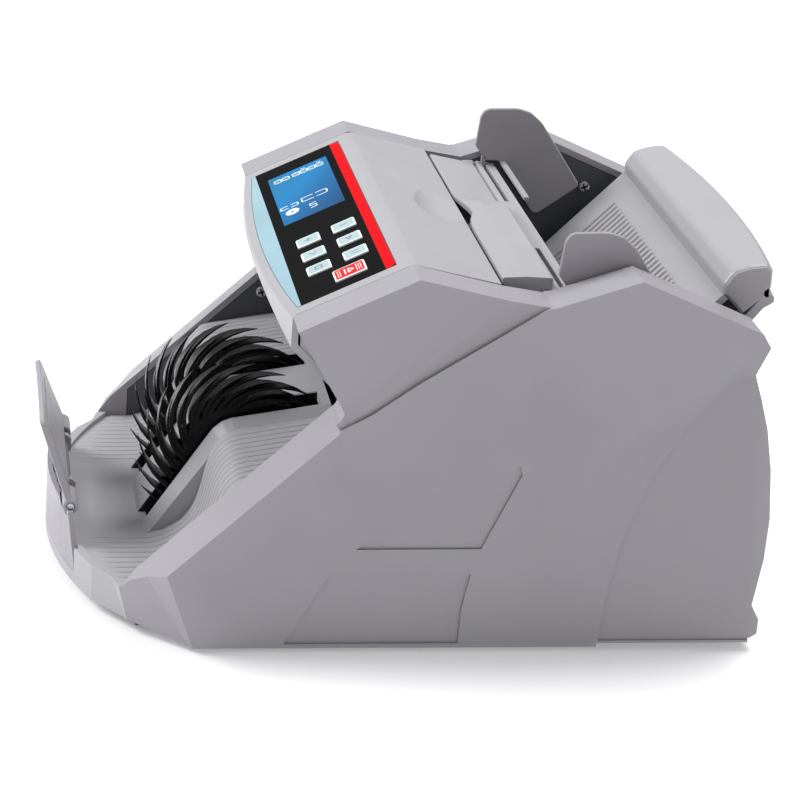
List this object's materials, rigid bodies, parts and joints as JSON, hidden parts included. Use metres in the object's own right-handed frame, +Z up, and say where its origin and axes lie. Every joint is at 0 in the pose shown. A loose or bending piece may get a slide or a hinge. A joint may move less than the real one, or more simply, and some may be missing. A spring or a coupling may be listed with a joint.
{
  "type": "banknote counting machine",
  "caption": "Desktop banknote counter with ribbed rear hopper, sliding side guides, keypad console with display, and a front stacker with finger wheels.",
  "frame": {"origin": "centre of the bounding box in plan, on the table plane under the rubber feet", "axes": "X across the machine to the operator's right, Y from the operator towards the rear, Z up"},
  "size_m": [0.24, 0.3146, 0.1826],
  "materials": {
    "black_plastic": "matte",
    "black_steel": "powder coat",
    "board": "solder mask",
    "brass": "plain",
    "dark_plastic": "matte",
    "display": "backlit display window",
    "film": "printed film",
    "finger": "semi gloss",
    "key": "satin",
    "key_red": "satin",
    "knob": "knurled",
    "light_shell": "fine matte texture",
    "rubber": "matte",
    "shell": "fine matte texture",
    "steel": "brushed"
  },
  "bodies": {
    "chassis": {"base_pan": "black_steel", "feet": "rubber", "side_cover_left": "shell", "side_cover_right": "shell", "side_frame_left": "black_steel", "side_frame_right": "black_steel", "frame_screws": "steel", "nose_fascia": "light_shell", "stop_skirt": "shell", "stop_pin": "steel", "stacker_deck": "light_shell", "console_cover": "light_shell", "panel_overlay": "film", "display_module": "display", "keypad_board": "board", "hopper_bridge": "light_shell", "retard_rod": "steel", "hopper_tray": "light_shell", "tray_rear_shell": "dark_plastic", "shaft_bushings": "brass", "motor": "steel", "belt_main": "rubber", "belt_pickup": "rubber", "belt_line": "rubber", "note_guides": "steel", "power_supply": "steel", "main_board": "board", "rear_cover": "shell", "power_inlet": "black_plastic"},
    "pickup": {"pickup_shaft": "steel", "pickup_rollers": "rubber", "pickup_pulley": "black_plastic"},
    "feed": {"feed_shaft": "steel", "feed_rollers": "rubber", "feed_pulley": "black_plastic"},
    "transport": {"transport_shaft": "steel", "transport_rollers": "rubber", "transport_pulley": "black_plastic"},
    "pinch": {"pinch_shaft": "steel", "pinch_rollers": "rubber"},
    "stacker": {"stacker_shaft": "steel", "stacker_hubs": "black_plastic", "stacker_fingers": "finger", "stacker_pulley": "black_plastic"},
    "drive": {"motor_pulley": "black_plastic"},
    "retard": {"retard_bracket": "steel", "retard_rollers": "rubber"},
    "thickness_screw": {"adjust_screw": "knob"},
    "flap": {"jam_flap": "shell"},
    "stop": {"stop_plate": "shell"},
    "left_guide": {"guide_left": "shell"},
    "right_guide": {"guide_right": "shell"},
    "rocker": {"rocker_switch": "key_red"},
    "key_1_cap": {"key_1": "key"},
    "key_2_cap": {"key_2": "key"},
    "key_3_cap": {"key_3": "key"},
    "key_4_cap": {"key_4": "key"},
    "key_5_cap": {"key_5": "key"},
    "key_6_cap": {"key_6": "key"},
    "key_start_cap": {"key_start": "key_red"}
  },
  "joints": [
    {"name": "motor_spin", "type": "hinge", "parent": "chassis", "child": "drive", "pos_m": [0, 0.04567, 0.032], "axis": [1, 0, 0], "continuous": true},
    {"name": "feed_spin", "type": "hinge", "parent": "chassis", "child": "feed", "pos_m": [0, 0.05567, 0.084], "axis": [1, 0, 0], "continuous": true},
    {"name": "pickup_spin", "type": "hinge", "parent": "chassis", "child": "pickup", "pos_m": [0, 0.10457, 0.111], "axis": [1, 0, 0], "continuous": true},
    {"name": "transport_spin", "type": "hinge", "parent": "chassis", "child": "transport", "pos_m": [0, 0.00967, 0.082], "axis": [1, 0, 0], "continuous": true},
    {"name": "pinch_spin", "type": "hinge", "parent": "chassis", "child": "pinch", "pos_m": [0, 0.00967, 0.1084], "axis": [1, 0, 0], "continuous": true},
    {"name": "stacker_spin", "type": "hinge", "parent": "chassis", "child": "stacker", "pos_m": [0, -0.07033, 0.052], "axis": [1, 0, 0], "continuous": true},
    {"name": "screw_turn", "type": "hinge", "parent": "chassis", "child": "thickness_screw", "pos_m": [0, 0.04067, 0.142], "axis": [0, 0, 1], "range_deg": [-180, 180]},
    {"name": "retard_pivot", "type": "hinge", "parent": "chassis", "child": "retard", "pos_m": [0, 0.02567, 0.128], "axis": [1, 0, 0], "range_deg": [-1.2, 1.2]},
    {"name": "flap_hinge", "type": "hinge", "parent": "chassis", "child": "flap", "pos_m": [0, 0.05117, 0.1536], "axis": [-1, 0, 0], "range_deg": [0, 45]},
    {"name": "stop_fold", "type": "hinge", "parent": "chassis", "child": "stop", "pos_m": [0, -0.14283, 0.036], "axis": [1, 0, 0], "range_deg": [-18, 50]},
    {"name": "left_guide_slide", "type": "slide", "parent": "chassis", "child": "left_guide", "axis": [1, 0, 0], "range_m": [0, 0.038]},
    {"name": "right_guide_slide", "type": "slide", "parent": "chassis", "child": "right_guide", "axis": [-1, 0, 0], "range_m": [0, 0.038]},
    {"name": "rocker_tilt", "type": "hinge", "parent": "chassis", "child": "rocker", "pos_m": [-0.03, 0.14387, 0.026], "axis": [1, 0, 0], "range_deg": [-12, 0]},
    {"name": "key_1_press", "type": "slide", "parent": "chassis", "child": "key_1_cap", "axis": [0, 0.436, -0.8999], "range_m": [0, 0.0006], "stiffness_N_per_m": 400, "springref_m": -0.0003},
    {"name": "key_2_press", "type": "slide", "parent": "chassis", "child": "key_2_cap", "axis": [0, 0.436, -0.8999], "range_m": [0, 0.0006], "stiffness_N_per_m": 400, "springref_m": -0.0003},
    {"name": "key_3_press", "type": "slide", "parent": "chassis", "child": "key_3_cap", "axis": [0, 0.436, -0.8999], "range_m": [0, 0.0006], "stiffness_N_per_m": 400, "springref_m": -0.0003},
    {"name": "key_4_press", "type": "slide", "parent": "chassis", "child": "key_4_cap", "axis": [0, 0.436, -0.8999], "range_m": [0, 0.0006], "stiffness_N_per_m": 400, "springref_m": -0.0003},
    {"name": "key_5_press", "type": "slide", "parent": "chassis", "child": "key_5_cap", "axis": [0, 0.436, -0.8999], "range_m": [0, 0.0006], "stiffness_N_per_m": 400, "springref_m": -0.0003},
    {"name": "key_6_press", "type": "slide", "parent": "chassis", "child": "key_6_cap", "axis": [0, 0.436, -0.8999], "range_m": [0, 0.0006], "stiffness_N_per_m": 400, "springref_m": -0.0003},
    {"name": "key_start_press", "type": "slide", "parent": "chassis", "child": "key_start_cap", "axis": [0, 0.436, -0.8999], "range_m": [0, 0.0006], "stiffness_N_per_m": 400, "springref_m": -0.0003}
  ],
  "couplings": [
    {"joint": "feed_spin", "follows": "motor_spin", "ratio": 0.5},
    {"joint": "pickup_spin", "follows": "motor_spin", "ratio": 0.5},
    {"joint": "transport_spin", "follows": "motor_spin", "ratio": 0.71429},
    {"joint": "pinch_spin", "follows": "motor_spin", "ratio": -0.97403},
    {"joint": "stacker_spin", "follows": "motor_spin", "ratio": 0.625},
    {"joint": "retard_pivot", "follows": "screw_turn", "ratio": 0.006667}
  ]
}
